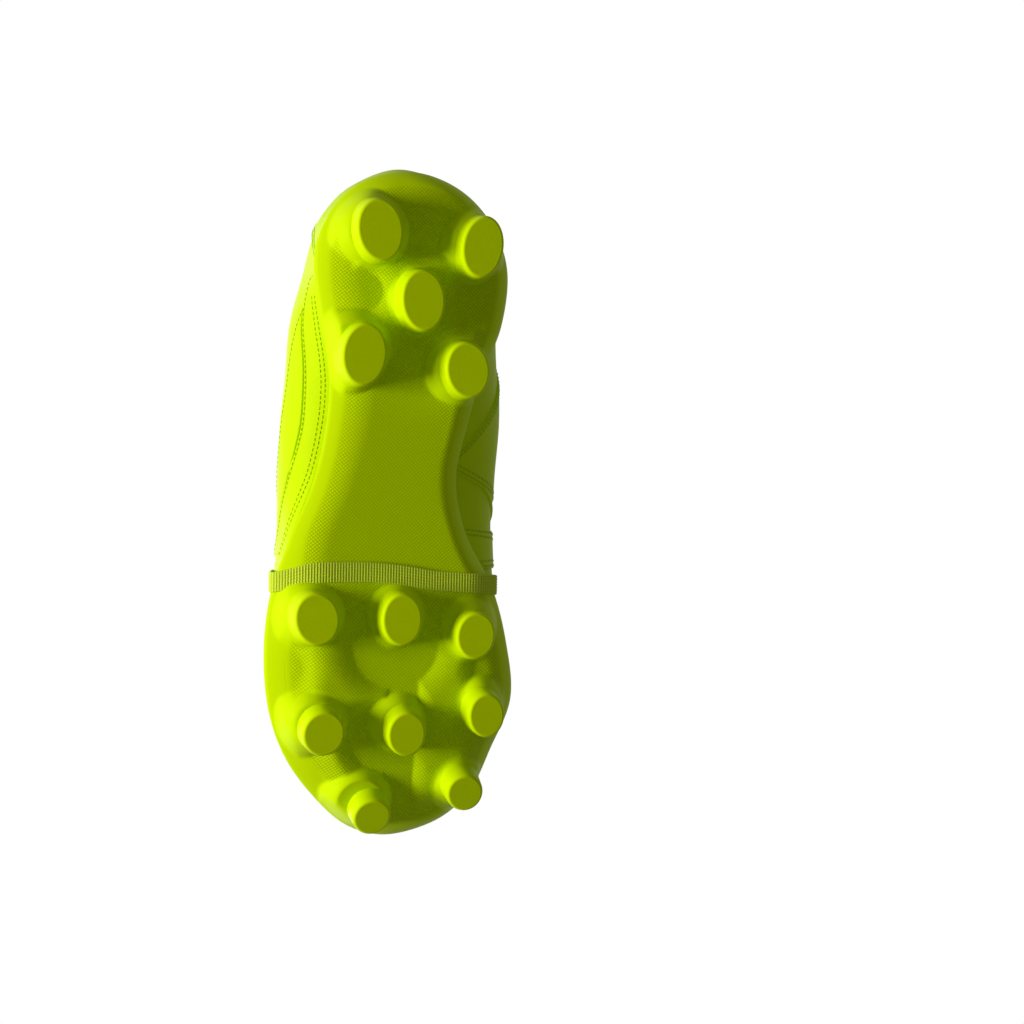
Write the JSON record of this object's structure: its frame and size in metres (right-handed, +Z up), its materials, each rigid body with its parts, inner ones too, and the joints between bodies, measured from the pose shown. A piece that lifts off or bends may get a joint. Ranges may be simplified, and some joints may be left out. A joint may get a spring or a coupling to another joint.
{
  "type": "soccer cleat",
  "caption": "Low-cut left football boot with a moulded studded sole, stitched leather upper, fold-over tongue flap and an elastic strap round the forefoot.",
  "frame": {"origin": "middle of the boot's box in plan, on the ground that the studs stand on", "axes": "+X towards the toe, +Y towards the outer (lateral) side of this left boot, +Z up"},
  "size_m": [0.3029, 0.1144, 0.127],
  "materials": {
    "outsole": "satin moulded TPU with a fine knurl",
    "stud_tips": "satin moulded TPU",
    "foam": "matt open foam",
    "shank": "plain sprung steel",
    "board": "fibre board",
    "sockliner": "brushed textile on foam",
    "leather": "smooth dyed leather, low sheen",
    "overlay": "smooth dyed leather, low sheen",
    "lining": "fine knitted mesh",
    "lace": "woven round cord",
    "elastic": "ribbed woven elastic",
    "webbing": "woven tape"
  },
  "bodies": {
    "root": {"collar_binding": "overlay", "collar_foam": "foam", "eyestay_lateral": "overlay", "eyestay_medial": "overlay", "heel_cap": "overlay", "heel_counter": "board", "heel_pull_tab": "webbing", "insole_board": "board", "lace": "lace", "midsole_wedge": "foam", "outsole": "outsole", "quarter_lateral": "leather", "quarter_lining": "lining", "quarter_medial": "leather", "shank": "shank", "side_band_lateral_1": "overlay", "side_band_lateral_2": "overlay", "side_band_medial": "overlay", "side_panel_medial": "overlay", "stud_tip_fore_1": "stud_tips", "stud_tip_fore_2": "stud_tips", "stud_tip_fore_3": "stud_tips", "stud_tip_fore_4": "stud_tips", "stud_tip_fore_5": "stud_tips", "stud_tip_fore_6": "stud_tips", "stud_tip_fore_7": "stud_tips", "stud_tip_fore_8": "stud_tips", "stud_tip_heel_1": "stud_tips", "stud_tip_heel_2": "stud_tips", "stud_tip_heel_3": "stud_tips", "stud_tip_heel_4": "stud_tips", "stud_tip_heel_5": "stud_tips", "toe_puff": "board", "tongue_cover": "leather", "tongue_foam": "foam", "tongue_lining": "lining", "vamp": "leather", "vamp_lining": "lining"},
    "flap": {"tongue_flap": "leather"},
    "strap": {"elastic_strap": "elastic"},
    "insole": {"sockliner": "sockliner"}
  },
  "joints": [
    {"name": "flap_fold", "type": "hinge", "parent": "root", "child": "flap", "pos_m": [-0.06344, -0.00321, 0.12367], "axis": [0, -1, 0], "range_deg": [0, 150]},
    {"name": "strap_slide", "type": "slide", "parent": "root", "child": "strap", "axis": [1, 0, 0], "range_m": [-0.002, 0]},
    {"name": "insole_lift", "type": "hinge", "parent": "root", "child": "insole", "pos_m": [0.13835, 0.0013, 0.03894], "axis": [0, 1, 0], "range_deg": [0, 5]}
  ]
}
